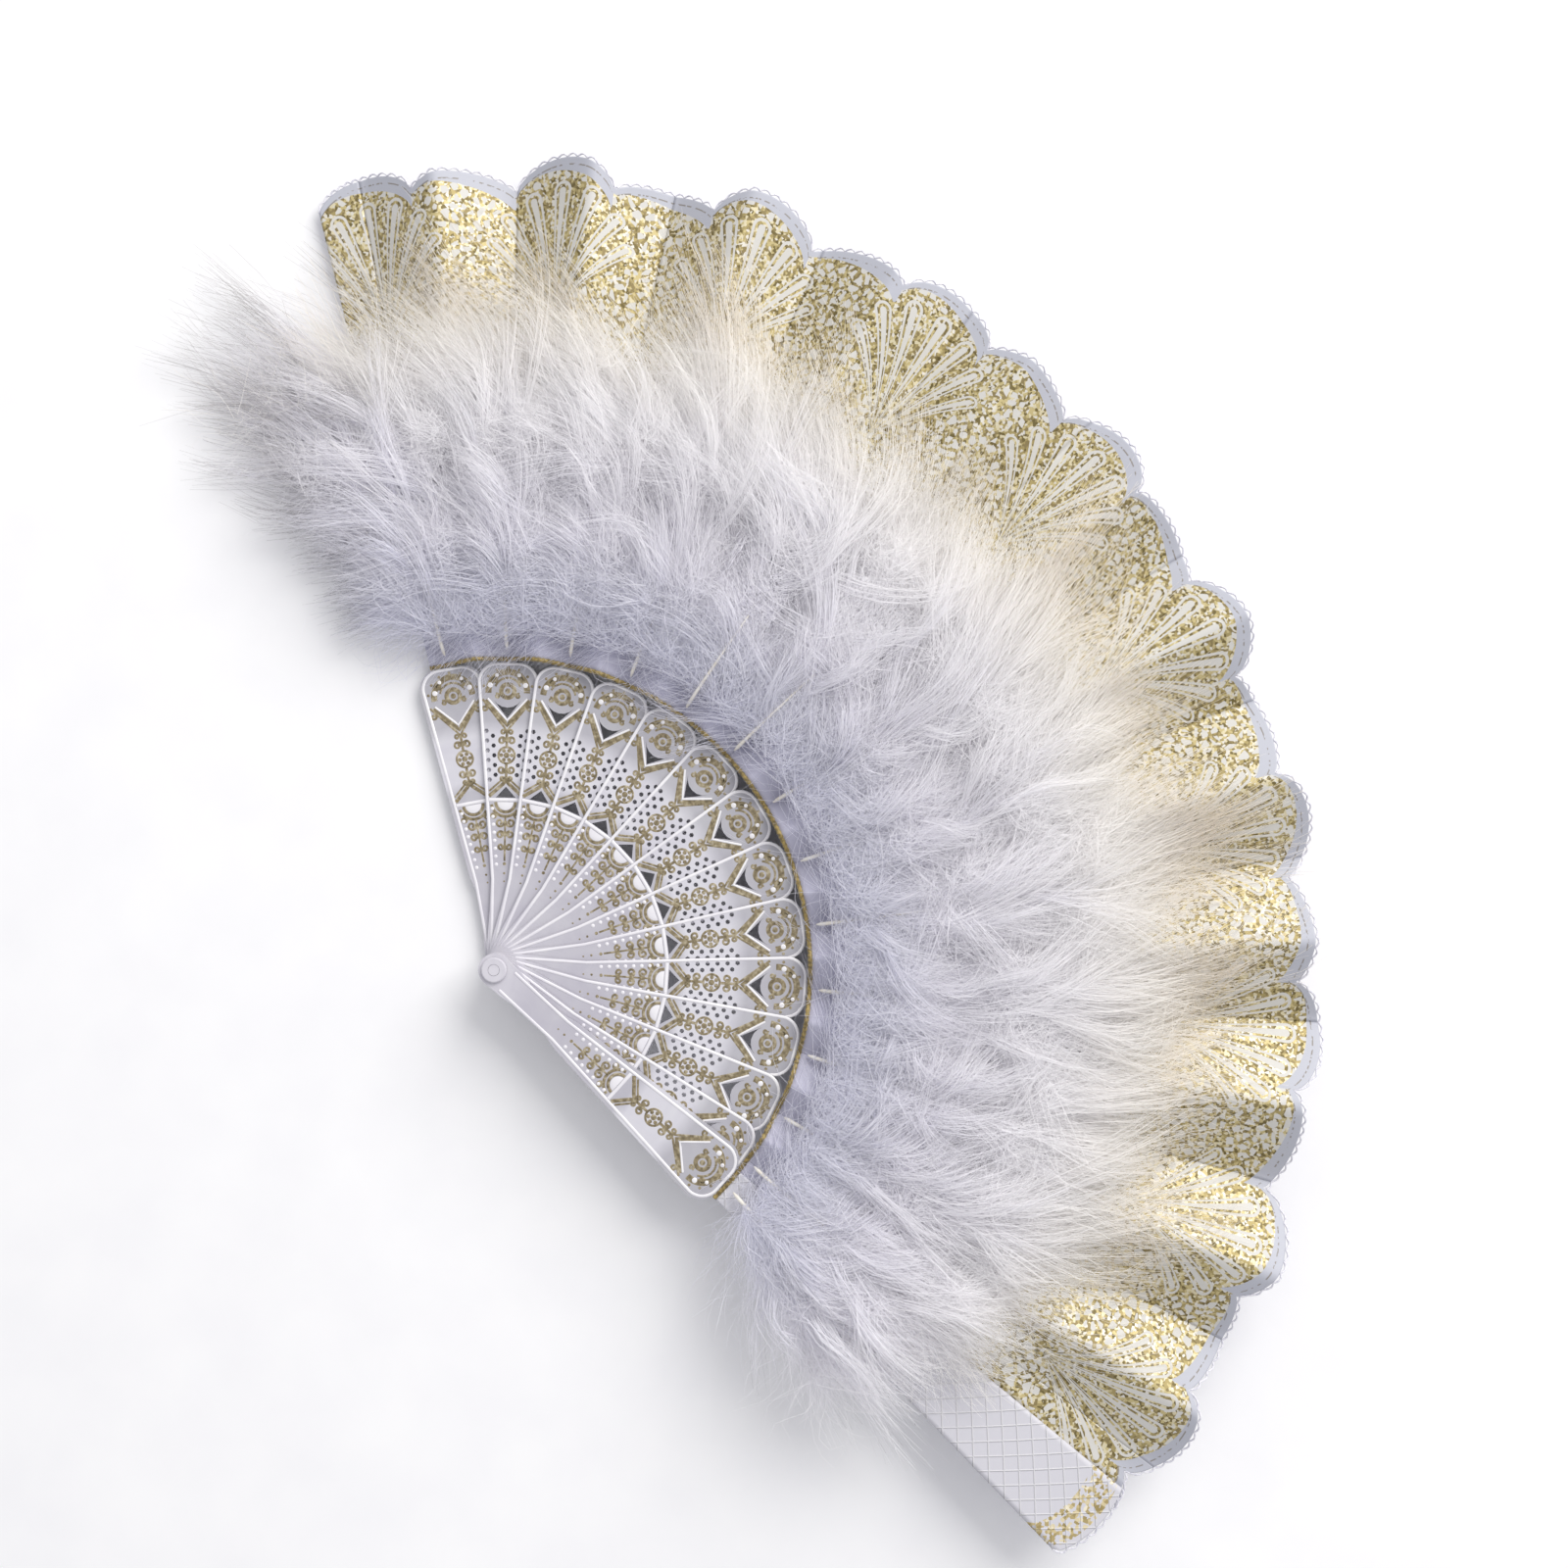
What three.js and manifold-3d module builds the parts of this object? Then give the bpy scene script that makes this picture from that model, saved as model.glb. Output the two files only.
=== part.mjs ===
// Folding feather fan, lying open and face up. Millimetres, +Z up.
// The rivet's axis is Z, the flat back of the rivet is z = 0, and the open leaf is centred on +Y.
// Angles are in degrees and run clockwise from +Y, seen from the front. Sticks are counted from the
// back guard, which is stick 0, and each one lies on top of the one before it.
import * as THREE from 'three';
import { mergeVertices } from 'three/addons/utils/BufferGeometryUtils.js';
import ManifoldModule from 'manifold-3d';

// Opening
const innerSticks = 12;
const stickPitch = 11.6;      // from one stick to the next
const lastPitch = 10.0;       // to the last inner stick, which closes up a little
const guardPitch = 5.7;       // from the last inner stick to the front guard

// Stack on the rivet
const stickThickness = 0.8;
const guardThickness = 1.6;
const stackGap = 0.25;        // running gap between neighbours on the rivet
const pinRadius = 1.5;
const pinClearance = 0.08;
const capRadius = 3.4;
const capThickness = 1.0;
const capChamfer = 0.3;
const pinSides = 20;

// Gorge, the pierced part of a stick below the leaf. Radii are from the rivet's axis.
const tailRadius = 4.4;
const waistRadius = 24;
const waistHalf = 3.6;
const headHalf = 8.4;
const headCorner = 5.5;
const guardWaistRadius = 17;
const guardWaistHalf = 3.2;
const shoulderRadius = 31;    // a guard flares out here, over its scooped waist
const shoulderHalf = 5.0;
const guardHeadHalf = 9.0;
const piercingStart = 46.5;
const gableHalf = 2.75;       // gable-shaped opening, its flat side towards the rivet
const gableHeight = 3.0;
const latticeWeb = 1.9;
const latticeRows = 6;
const latticePitch = 2.7;
const latticeHole = 0.66;
const latticeEdge = 1.5;      // from the stick's edge to the outer column of holes
const latticeColumn = 1.7;    // from the outer column to the inner one
const holeSides = 6;
const wingWeb = 3.5;
const wingDepth = 3.0;        // depth of the winged slot on the stick's middle
const wingCurve = 4.6;        // radius of the slot's upper edge, about the ring above it
const wingAngle = 32;         // where that edge ends, below the level of the ring
const crownHeight = 8.0;      // from the ring's middle to the end of the gorge

// Ribs, the slats behind the leaf
const ribHalf = 2.0;
const ribTipHalf = 1.5;
const slatAngle = 1.5;        // half-angle of a guard's slat, whose sides are radial
const ribMargin = 10;         // from a rib's tip to the notches of the rim

// Leaf
const leafThickness = 0.35;
const leafSeat = 0.3;         // glue line between leaf and rib
const leafClear = 1.8;        // from the gorge to the leaf's hem
const notchRadius = 214;      // at the notches between the rim's scallops
const scallopAngle = 7.5;
const scallopStart = 0.3;     // a large scallop's middle, from the back guard's angle
const largeScallop = 8.5;
const smallScallop = 4.5;
const pleatRise = 11.5;       // height of a ridge over its valleys, at the notches
const frontPleatRise = 0.4;   // the last pleat lies flat under the front panel's edge
const pleatGap = 0.4;         // between neighbouring pleats along a rib
const pleatColumns = 8;
const backPanelAngle = 3.3;
const frontPanelAngle = 3.25; // half-angle of the strip on the front guard

// Plumes, one on each stick
const plumeStart = 1.2;       // from the leaf's hem to the tip of the quill
const plumeLength = 101;
const frontPlumeLength = 88;  // it leaves the outer part of the front strip bare
const plumeLoft = 15;
const plumeFill = 0.95;       // share of the space between two ridges
const quillShare = 0.06;      // bare stretch of the quill, as a share of the plume
const quillFill = 0.07;
const quillLoft = 1.1;
const backOverhang = 16.5;    // angle that the back guard's plume spreads past the guard
const frontOverhang = 12.5;
const plumeRows = [0, quillShare, 0.12, 0.25, 0.45, 0.68, 0.86, 0.95, 1]; // as shares of its length
const plumeColumns = [-1, -0.5, 0, 0.5, 1];                               // from its left edge to its right
const plumeTaper = 1.15;      // over 1, the fullest place lies nearer the tip
const plumeBluntness = 0.45;  // under 1, the ends are rounder
const plumeDome = 0.55;       // share of the loft that is lost towards the edges

const frontGuard = innerSticks + 1;
const backAngle = -((innerSticks - 1) * stickPitch + lastPitch + guardPitch) / 2;
const gableTop = piercingStart + gableHeight;
const latticeStart = gableTop + latticeWeb;
const latticeEnd = latticeStart + (latticeRows - 1) * latticePitch;
const wingApex = latticeEnd + wingWeb;
const ringRadius = wingApex + wingDepth + wingCurve;
const gorgeEnd = ringRadius + crownHeight;
const leafInner = gorgeEnd + leafClear;
const ribTip = notchRadius - ribMargin;
const slatThickness = guardThickness - leafThickness - leafSeat;
const backGuardZ = capThickness + stackGap;
const firstStickZ = backGuardZ + guardThickness + stackGap;
const stickRise = stickThickness + stackGap;
const pivotHole = (pinRadius + pinClearance) / Math.cos(Math.PI / pinSides);

const pearlPlastic = new THREE.MeshStandardMaterial({ color: 0xe9e6ee, roughness: 0.32, metalness: 0 });
const printedLeaf = new THREE.MeshStandardMaterial({ color: 0xc8b98a, roughness: 0.6, metalness: 0.1 });
const whiteDown = new THREE.MeshStandardMaterial({ color: 0xe6e3f0, roughness: 0.9, metalness: 0 });

const wasm = await ManifoldModule();
wasm.setup();

const fan = new THREE.Group();

function addPiece(name, geometry, material) {
  const mesh = new THREE.Mesh(geometry, material);
  mesh.name = name;
  fan.add(mesh);
  return mesh;
}

function stickAngle(k) {
  if (k < innerSticks) return backAngle + k * stickPitch;
  const last = backAngle + (innerSticks - 1) * stickPitch + lastPitch;
  return k === innerSticks ? last : last + guardPitch;
}

function stickZ(k) {
  return k === 0 ? backGuardZ : firstStickZ + (k - 1) * stickRise;
}

// A point at a radius along an angle, moved sideways (clockwise) and up
function polar(angle, radius, sideways, z) {
  const a = THREE.MathUtils.degToRad(angle);
  return new THREE.Vector3(
    radius * Math.sin(a) + sideways * Math.cos(a),
    radius * Math.cos(a) - sideways * Math.sin(a),
    z,
  );
}

function polygon(x, y, radius, sides) {
  const path = new THREE.Path();
  const points = [];
  for (let i = 0; i < sides; i++) {
    const a = (2 * Math.PI * i) / sides;
    points.push(new THREE.Vector2(x + radius * Math.cos(a), y + radius * Math.sin(a)));
  }
  return path.setFromPoints(points);
}

function plate(shape, thickness) {
  return new THREE.ExtrudeGeometry(shape, { depth: thickness, bevelEnabled: false, curveSegments: 3 });
}

function toSolid(geometry) {
  const bare = geometry.clone();
  bare.deleteAttribute('normal');
  bare.deleteAttribute('uv');
  const merged = mergeVertices(bare);
  const { array } = merged.attributes.position;
  return new wasm.Manifold(
    new wasm.Mesh({ numProp: 3, vertProperties: array, triVerts: new Uint32Array(merged.index.array) }),
  );
}

function joined(a, b) {
  const mesh = toSolid(a).add(toSolid(b)).getMesh();
  const geometry = new THREE.BufferGeometry();
  geometry.setAttribute('position', new THREE.BufferAttribute(new Float32Array(mesh.vertProperties), 3));
  geometry.setIndex(new THREE.BufferAttribute(new Uint32Array(mesh.triVerts), 1));
  return geometry.toNonIndexed();
}

// Sticks: a round tail, a waist, straight sides that spread to the head, and round corners

function edgeHalf(radius) {
  const spread = (headHalf - waistHalf) / (gorgeEnd - headCorner - waistRadius);
  return waistHalf + (radius - waistRadius) * spread;
}

// An S-curve along the stick, from one half-width to another
function flare(shape, x0, y0, x1, y1) {
  const middle = (y0 + y1) / 2;
  shape.bezierCurveTo(x0, middle, x1, middle, x1, y1);
}

function gorgeRight(shape, flares, head) {
  shape.absarc(0, 0, tailRadius, Math.PI, 1.5 * Math.PI);
  shape.absarc(0, 0, tailRadius, 1.5 * Math.PI, 2 * Math.PI);
  flares.slice(1).forEach(([x, y], i) => flare(shape, flares[i][0], flares[i][1], x, y));
  shape.lineTo(head, gorgeEnd - headCorner);
  shape.absarc(head - headCorner, gorgeEnd - headCorner, headCorner, 0, Math.PI / 2);
}

function gorgeLeft(shape, flares, head) {
  const down = flares.map(([x, y]) => [-x, y]).reverse();
  shape.absarc(headCorner - head, gorgeEnd - headCorner, headCorner, Math.PI / 2, Math.PI);
  shape.lineTo(down[0][0], down[0][1]);
  down.slice(1).forEach(([x, y], i) => flare(shape, down[i][0], down[i][1], x, y));
}

function gableOpening() {
  return new THREE.Path().setFromPoints([
    new THREE.Vector2(-gableHalf, piercingStart),
    new THREE.Vector2(gableHalf, piercingStart),
    new THREE.Vector2(0, gableTop),
  ]);
}

function wingedSlot() {
  const low = THREE.MathUtils.degToRad(wingAngle);
  const slot = new THREE.Path();
  slot.absarc(0, ringRadius, wingCurve, -low, low - Math.PI, true);
  slot.lineTo(0, wingApex);
  slot.closePath();
  return slot;
}

// Two staggered columns of small round holes along each side
function latticeHoles() {
  const holes = [];
  for (const side of [-1, 1]) {
    for (let row = 0; row < latticeRows; row++) {
      const outer = latticeStart + row * latticePitch;
      holes.push(polygon(side * (edgeHalf(outer) - latticeEdge), outer, latticeHole, holeSides));
      if (row === latticeRows - 1) continue;
      const inner = outer + latticePitch / 2;
      const x = edgeHalf(inner) - latticeEdge - latticeColumn;
      holes.push(polygon(side * x, inner, latticeHole, holeSides));
    }
  }
  return holes;
}

function innerStick() {
  const shape = new THREE.Shape();
  const flares = [[tailRadius, 0], [waistHalf, waistRadius]];
  gorgeRight(shape, flares, headHalf);
  shape.lineTo(ribHalf, gorgeEnd);
  shape.lineTo(ribTipHalf, ribTip - ribTipHalf);
  shape.absarc(0, ribTip - ribTipHalf, ribTipHalf, 0, Math.PI);
  shape.lineTo(-ribHalf, gorgeEnd);
  gorgeLeft(shape, flares, headHalf);
  shape.holes.push(polygon(0, 0, pivotHole, pinSides), gableOpening(), wingedSlot(), ...latticeHoles());
  return plate(shape, stickThickness);
}

// A guard is unpierced. Its slat is thinner than its gorge, so the leaf glued on it lies flush.
function guard() {
  const gorge = new THREE.Shape();
  const flares = [[tailRadius, 0], [guardWaistHalf, guardWaistRadius], [shoulderHalf, shoulderRadius]];
  gorgeRight(gorge, flares, guardHeadHalf);
  gorgeLeft(gorge, flares, guardHeadHalf);
  gorge.holes.push(polygon(0, 0, pivotHole, pinSides));
  const spread = Math.tan(THREE.MathUtils.degToRad(slatAngle));
  const root = gorgeEnd - headCorner;
  const slat = new THREE.Shape();
  slat.moveTo(root * spread, root);
  slat.lineTo(ribTip * spread, ribTip);
  slat.lineTo(-ribTip * spread, ribTip);
  slat.lineTo(-root * spread, root);
  slat.closePath();
  return joined(plate(gorge, guardThickness), plate(slat, slatThickness));
}

function placeStick(name, geometry, k) {
  const stick = addPiece(name, geometry, pearlPlastic);
  stick.position.z = stickZ(k);
  stick.rotation.z = -THREE.MathUtils.degToRad(stickAngle(k));
}

const twoDigits = (k) => String(k).padStart(2, '0');

placeStick('back_guard', guard(), 0);
for (let k = 1; k <= innerSticks; k++) placeStick(`stick_${twoDigits(k)}`, innerStick(), k);
placeStick('front_guard', guard(), frontGuard);

// Rivet: a headed pin through every stick, and a ring cap on its front end

function turned(profile) {
  const points = profile.map(([radius, z]) => new THREE.Vector2(radius, z));
  return new THREE.LatheGeometry(points, pinSides).rotateX(Math.PI / 2);
}

const capZ = stickZ(frontGuard) + guardThickness + stackGap;
const pinEnd = capZ + capThickness;
const capHole = pinRadius + pinClearance;
addPiece('rivet_pin', turned([
  [0, 0],
  [capRadius - capChamfer, 0],
  [capRadius, capChamfer],
  [capRadius, capThickness],
  [pinRadius, capThickness],
  [pinRadius, pinEnd],
  [0, pinEnd],
]), pearlPlastic);
addPiece('rivet_front_cap', turned([
  [capHole, capZ],
  [capRadius, capZ],
  [capRadius, pinEnd - capChamfer],
  [capRadius - capChamfer, pinEnd],
  [capHole, pinEnd],
  [capHole, capZ],
]), pearlPlastic);

// Soft pieces are slabs between two grids of points, whose rows run outwards and whose columns run
// clockwise. The lower grid comes first.
function slab(lower, upper) {
  const rows = lower.length;
  const columns = lower[0].length;
  const positions = [];
  const quad = (a, b, c, d) => {
    for (const p of [a, b, c, a, c, d]) positions.push(p.x, p.y, p.z);
  };
  for (let r = 0; r + 1 < rows; r++) {
    for (let c = 0; c + 1 < columns; c++) {
      quad(upper[r][c], upper[r][c + 1], upper[r + 1][c + 1], upper[r + 1][c]);
      quad(lower[r][c], lower[r + 1][c], lower[r + 1][c + 1], lower[r][c + 1]);
    }
    quad(lower[r][0], upper[r][0], upper[r + 1][0], lower[r + 1][0]);
    const e = columns - 1;
    quad(lower[r][e], lower[r + 1][e], upper[r + 1][e], upper[r][e]);
  }
  const f = rows - 1;
  for (let c = 0; c + 1 < columns; c++) {
    quad(lower[0][c], lower[0][c + 1], upper[0][c + 1], upper[0][c]);
    quad(lower[f][c + 1], lower[f][c], upper[f][c], upper[f][c + 1]);
  }
  const geometry = new THREE.BufferGeometry();
  geometry.setAttribute('position', new THREE.Float32BufferAttribute(positions, 3));
  return geometry;
}

const raised = (point, height) => point.clone().setZ(point.z + height);
const lifted = (grid, height) => grid.map((row) => row.map((point) => raised(point, height)));
const spaced = (count) => Array.from({ length: count + 1 }, (_, i) => i / count);

// Leaf: its underside rests on the ribs and guards, and rises to a ridge between each two of them

function leafZ(k) {
  if (k === 0) return backGuardZ + slatThickness + leafSeat;
  if (k === frontGuard) return stickZ(k) + (slatThickness - leafThickness) / 2;
  return stickZ(k) + stickThickness + leafSeat;
}

// The leaf stops beside the front guard's slat
const leafAngle = (k) => (k === frontGuard ? stickAngle(k) - slatAngle : stickAngle(k));
const ridgeAngle = (j) => (leafAngle(j - 1) + leafAngle(j)) / 2;

function ridgeRise(j) {
  if (j === frontGuard) return frontPleatRise;
  const narrowing = (leafAngle(j) - leafAngle(j - 1)) / stickPitch;
  return pleatRise * narrowing ** 2;
}

const valley = (k, radius, sideways) => polar(leafAngle(k), radius, sideways, leafZ(k));

function ridge(j, radius) {
  const z = (leafZ(j - 1) + leafZ(j)) / 2 + (ridgeRise(j) * radius) / notchRadius;
  return polar(ridgeAngle(j), radius, 0, z);
}

// Large and small scallops take turns round the rim
function rimRadius(angle) {
  const turn = (angle - backAngle - scallopStart) / scallopAngle + 0.5;
  const lobe = Math.floor(turn);
  const height = lobe % 2 === 0 ? largeScallop : smallScallop;
  return notchRadius + height * Math.sqrt(Math.sin(Math.PI * (turn - lobe)));
}

function pleat(j) {
  const point = (share, radius) => {
    const top = ridge(j, radius);
    if (share <= 0.5) return valley(j - 1, radius, pleatGap / 2).lerp(top, 2 * share);
    return top.lerp(valley(j, radius, -pleatGap / 2), 2 * share - 1);
  };
  const shares = spaced(pleatColumns);
  const angle = (share) => THREE.MathUtils.lerp(leafAngle(j - 1), leafAngle(j), share);
  const hem = shares.map((share) => point(share, leafInner));
  const rim = shares.map((share) => point(share, rimRadius(angle(share))));
  return slab([hem, rim], lifted([hem, rim], leafThickness));
}

// A flat strip of the leaf on a guard, between two angles from the guard's own
function endPanel(k, from, to, z) {
  const angles = spaced(pleatColumns / 2).map((share) => stickAngle(k) + from + share * (to - from));
  const sideways = to > 0 ? 0 : -pleatGap / 2;
  const hem = angles.map((angle) => polar(angle, leafInner, sideways, z));
  const rim = angles.map((angle) => polar(angle, rimRadius(angle), sideways, z));
  return slab([hem, rim], lifted([hem, rim], leafThickness));
}

const frontPanelZ = stickZ(frontGuard) + slatThickness + leafSeat;
for (let j = 1; j <= frontGuard; j++) addPiece(`leaf_pleat_${twoDigits(j)}`, pleat(j), printedLeaf);
addPiece('back_end_panel', endPanel(0, -backPanelAngle, 0, leafZ(0)), printedLeaf);
const frontPanel = endPanel(frontGuard, -frontPanelAngle, frontPanelAngle, frontPanelZ);
addPiece('front_end_panel', frontPanel, printedLeaf);

// Plumes: a quill in the valley over its rib, and a loft of down that fills the space to the ridges

function plumeBed(k, radius) {
  const front = k === frontGuard;
  const middle = front ? polar(stickAngle(k), radius, 0, frontPanelZ) : valley(k, radius, 0);
  const left = () => {
    if (k === 0) return polar(stickAngle(k) - backOverhang, radius, 0, middle.z);
    const slope = ridge(k, radius);
    return front ? slope.setZ(middle.z) : slope;
  };
  const right = () => {
    if (front) return polar(stickAngle(k) + frontOverhang, radius, 0, middle.z);
    return ridge(k + 1, radius);
  };
  return [left(), middle, right()].map((point) => raised(point, leafThickness + leafSeat));
}

function plume(k) {
  const length = k === frontGuard ? frontPlumeLength : plumeLength;
  const lower = [];
  const upper = [];
  for (const share of plumeRows) {
    const radius = leafInner + plumeStart + share * length;
    const fullness = share > quillShare ? Math.sin(Math.PI * share ** plumeTaper) ** plumeBluntness : 0;
    const fill = quillFill + (plumeFill - quillFill) * fullness;
    const loft = quillLoft + (plumeLoft - quillLoft) * fullness;
    const [left, middle, right] = plumeBed(k, radius);
    const bed = plumeColumns.map((a) => middle.clone().lerp(a < 0 ? left : right, Math.abs(a) * fill));
    const dome = plumeColumns.map((a) => loft * (1 - plumeDome * a ** 2));
    lower.push(bed);
    upper.push(bed.map((point, i) => raised(point, dome[i])));
  }
  return slab(lower, upper);
}

addPiece('plume_back', plume(0), whiteDown);
for (let k = 1; k <= innerSticks; k++) addPiece(`plume_${twoDigits(k)}`, plume(k), whiteDown);
addPiece('plume_front', plume(frontGuard), whiteDown);

export default fan;
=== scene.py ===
import math
from functools import partial

import bpy
import numpy as np
from mathutils import Matrix, Vector


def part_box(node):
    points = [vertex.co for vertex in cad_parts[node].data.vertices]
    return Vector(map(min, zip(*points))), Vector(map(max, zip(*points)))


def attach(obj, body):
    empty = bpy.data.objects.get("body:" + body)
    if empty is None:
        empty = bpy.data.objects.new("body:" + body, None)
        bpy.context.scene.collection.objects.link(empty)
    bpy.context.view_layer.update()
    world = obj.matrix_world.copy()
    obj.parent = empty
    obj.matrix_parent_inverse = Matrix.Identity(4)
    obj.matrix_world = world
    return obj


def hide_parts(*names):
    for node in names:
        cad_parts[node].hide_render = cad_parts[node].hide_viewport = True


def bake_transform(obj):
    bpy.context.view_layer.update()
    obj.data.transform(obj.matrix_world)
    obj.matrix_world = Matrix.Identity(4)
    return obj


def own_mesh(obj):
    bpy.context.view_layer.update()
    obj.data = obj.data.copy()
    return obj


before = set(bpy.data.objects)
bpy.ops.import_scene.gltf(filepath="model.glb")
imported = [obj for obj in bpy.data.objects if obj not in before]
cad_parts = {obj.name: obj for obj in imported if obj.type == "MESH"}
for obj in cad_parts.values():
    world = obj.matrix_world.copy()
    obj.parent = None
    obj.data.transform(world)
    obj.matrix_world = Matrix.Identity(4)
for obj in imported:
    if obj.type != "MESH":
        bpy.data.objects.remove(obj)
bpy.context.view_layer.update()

# Folding feather fan, lying open and face up. Sizes are in millimetres until a mesh is made.
mm = 0.001
scene = bpy.context.scene


# Shared helpers

# A dictionary of settings, read by name
class Settings(dict):
    __getattr__ = dict.__getitem__


def toLinear(hexColour):
    srgb = np.array([int(hexColour[i:i + 2], 16) for i in (1, 3, 5)]) / 255
    linear = np.where(srgb <= 0.04045, srgb / 12.92, ((srgb + 0.055) / 1.055) ** 2.4)
    return (*linear.tolist(), 1.0)


# Adds a node with its settings. Inputs go by name or by order: a node or socket is linked, a value is set.
def addNode(tree, kind, inputs=(), operation=None, stops=(), **settings):
    node = tree.nodes.new("ShaderNode" + kind)
    if operation:
        node.operation = operation
    for key, value in settings.items():
        setattr(node, key, value)
    for socket, value in inputs.items() if isinstance(inputs, dict) else enumerate(inputs):
        if isinstance(value, (bpy.types.Node, bpy.types.NodeSocket)):
            source = value if isinstance(value, bpy.types.NodeSocket) else value.outputs[0]
            tree.links.new(source, node.inputs[socket])
        else:
            node.inputs[socket].default_value = value
    for i, (place, hexColour) in enumerate(stops):
        elements = node.color_ramp.elements
        element = elements[i] if i < len(elements) else elements.new(place)
        element.position = place
        element.color = toLinear(hexColour)
    return node


def newMaterial(name):
    material = bpy.data.materials.new(name)
    material.use_nodes = True
    material.node_tree.nodes.clear()
    return material, partial(addNode, material.node_tree)


# Quads between neighbouring rows and columns of a grid of points, counted row by row
def gridQuads(rows, columns, closed=False):
    spots = np.arange(rows * columns).reshape(rows, columns)
    if closed:
        spots = np.column_stack([spots, spots[:, 0]])
    corners = spots[:-1, :-1], spots[:-1, 1:], spots[1:, 1:], spots[1:, :-1]
    return np.stack(corners, axis=-1).reshape(-1, 4)


def joinParts(parts):
    points, quads = zip(*parts)
    starts = np.cumsum([0, *map(len, points[:-1])])
    return np.vstack(points), np.vstack([own + start for own, start in zip(quads, starts)])


def makePiece(name, points, quads, materials):
    mesh = bpy.data.meshes.new(name)
    mesh.vertices.add(len(points))
    mesh.vertices.foreach_set("co", (points * mm).astype(np.float32).ravel())
    mesh.loops.add(quads.size)
    mesh.loops.foreach_set("vertex_index", quads.astype(np.int32).ravel())
    mesh.polygons.add(len(quads))
    mesh.polygons.foreach_set("loop_start", np.arange(0, quads.size, 4, dtype=np.int32))
    mesh.update(calc_edges=True)
    for material in materials:
        mesh.materials.append(material)
    mesh.shade_smooth()
    piece = bpy.data.objects.new(name, mesh)
    scene.collection.objects.link(piece)
    return piece


def addMap(piece, name, coordinates):
    corners = np.empty(len(piece.data.loops), np.int32)
    piece.data.loops.foreach_get("vertex_index", corners)
    layer = piece.data.uv_layers.new(name=name)
    layer.uv.foreach_set("vector", coordinates[corners].astype(np.float32).ravel())


def unit(vectors):
    return vectors / np.linalg.norm(vectors, axis=-1, keepdims=True)


# A round section carried along a path: each point of the path gets a ring, square to its direction
def tube(path, radii, sides):
    along = unit(np.gradient(path, axis=0))
    across = unit(np.cross(along, [0.0, 0.0, 1.0]))
    over = np.cross(across, along)
    turn = np.linspace(0, 2 * np.pi, sides, endpoint=False)
    radii = np.broadcast_to(radii, (len(path), sides))[..., None]
    ring = np.cos(turn)[:, None] * across[:, None] + np.sin(turn)[:, None] * over[:, None]
    points = path[:, None] + radii * ring
    return points.reshape(-1, 3), gridQuads(len(path), sides, closed=True)[:, ::-1]


# A value part of the way from the first end of a range to the other
def between(ends, share):
    return ends[0] + (ends[1] - ends[0]) * share


# A point at an angle (clockwise from +Y) and a radius from the rivet, moved sideways and up
def polar(angle, radius, side=0.0, z=0.0):
    x = radius * np.sin(angle) + side * np.cos(angle)
    y = radius * np.cos(angle) - side * np.sin(angle)
    return np.stack(np.broadcast_arrays(x, y, z), axis=-1)


# Sticks as packed: angle of the rib's tip and highest level

tipDepth = 0.05  # of the points that count as the tip
stickNames = ["back_guard"] + [f"stick_{k:02d}" for k in range(1, 13)] + ["front_guard"]
frontGuard = len(stickNames) - 1


def nodePoints(name):
    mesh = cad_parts[name].data
    flat = np.empty(len(mesh.vertices) * 3, np.float32)
    mesh.vertices.foreach_get("co", flat)
    return flat.reshape(-1, 3).astype(float) / mm


def tipAngle(name):
    points = nodePoints(name)
    reach = np.hypot(points[:, 0], points[:, 1])
    tip = points[reach > reach.max() - tipDepth]
    angles = np.arctan2(tip[:, 0], tip[:, 1])
    return (angles.min() + angles.max()) / 2


stickAngles = np.array([tipAngle(name) for name in stickNames])
stickTops = np.array([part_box(name)[1].z / mm for name in stickNames])
print("frame: sticks from %.2f to %.2f degrees" % tuple(np.degrees(stickAngles[[0, -1]])))


# Camera, at the photograph's angle: almost straight down on the open fan

cameraLook = Settings(
    sensor=36.0,
    lens=42.1425,
    place=(6.55, 88.84, 510.6),
    aim=(-6.07, 92.24, 10.0),
    roll=60.96,  # the image's upright, from +Y towards -X
)


def addCamera(look):
    camera = bpy.data.cameras.new("fan_camera")
    camera.sensor_width = look.sensor
    camera.lens = look.lens
    camera.clip_start = 0.01
    holder = bpy.data.objects.new("fan_camera", camera)
    scene.collection.objects.link(holder)
    back = (Vector(look.place) - Vector(look.aim)).normalized()
    roll = math.radians(look.roll)
    right = Vector((-math.sin(roll), math.cos(roll), 0)).cross(back).normalized()
    upright = back.cross(right)
    turn = Matrix((right, upright, back)).transposed().to_4x4()
    holder.matrix_world = Matrix.Translation(Vector(look.place) * mm) @ turn
    scene.camera = holder


addCamera(cameraLook)


# Floor and light: a pale floor, an even white surround and one large soft lamp from the upper right

studioLook = Settings(
    floorHalf=3000.0,
    floorDrop=0.4,
    surround=0.66,
    lampPower=25.0,
    lampSize=1.2, lampDistance=1.6, lampAim=(0.0, 0.11, 0.01),  # metres
    lampElevation=37,
    lampHeading=(-0.36, 0.93),
)


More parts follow.
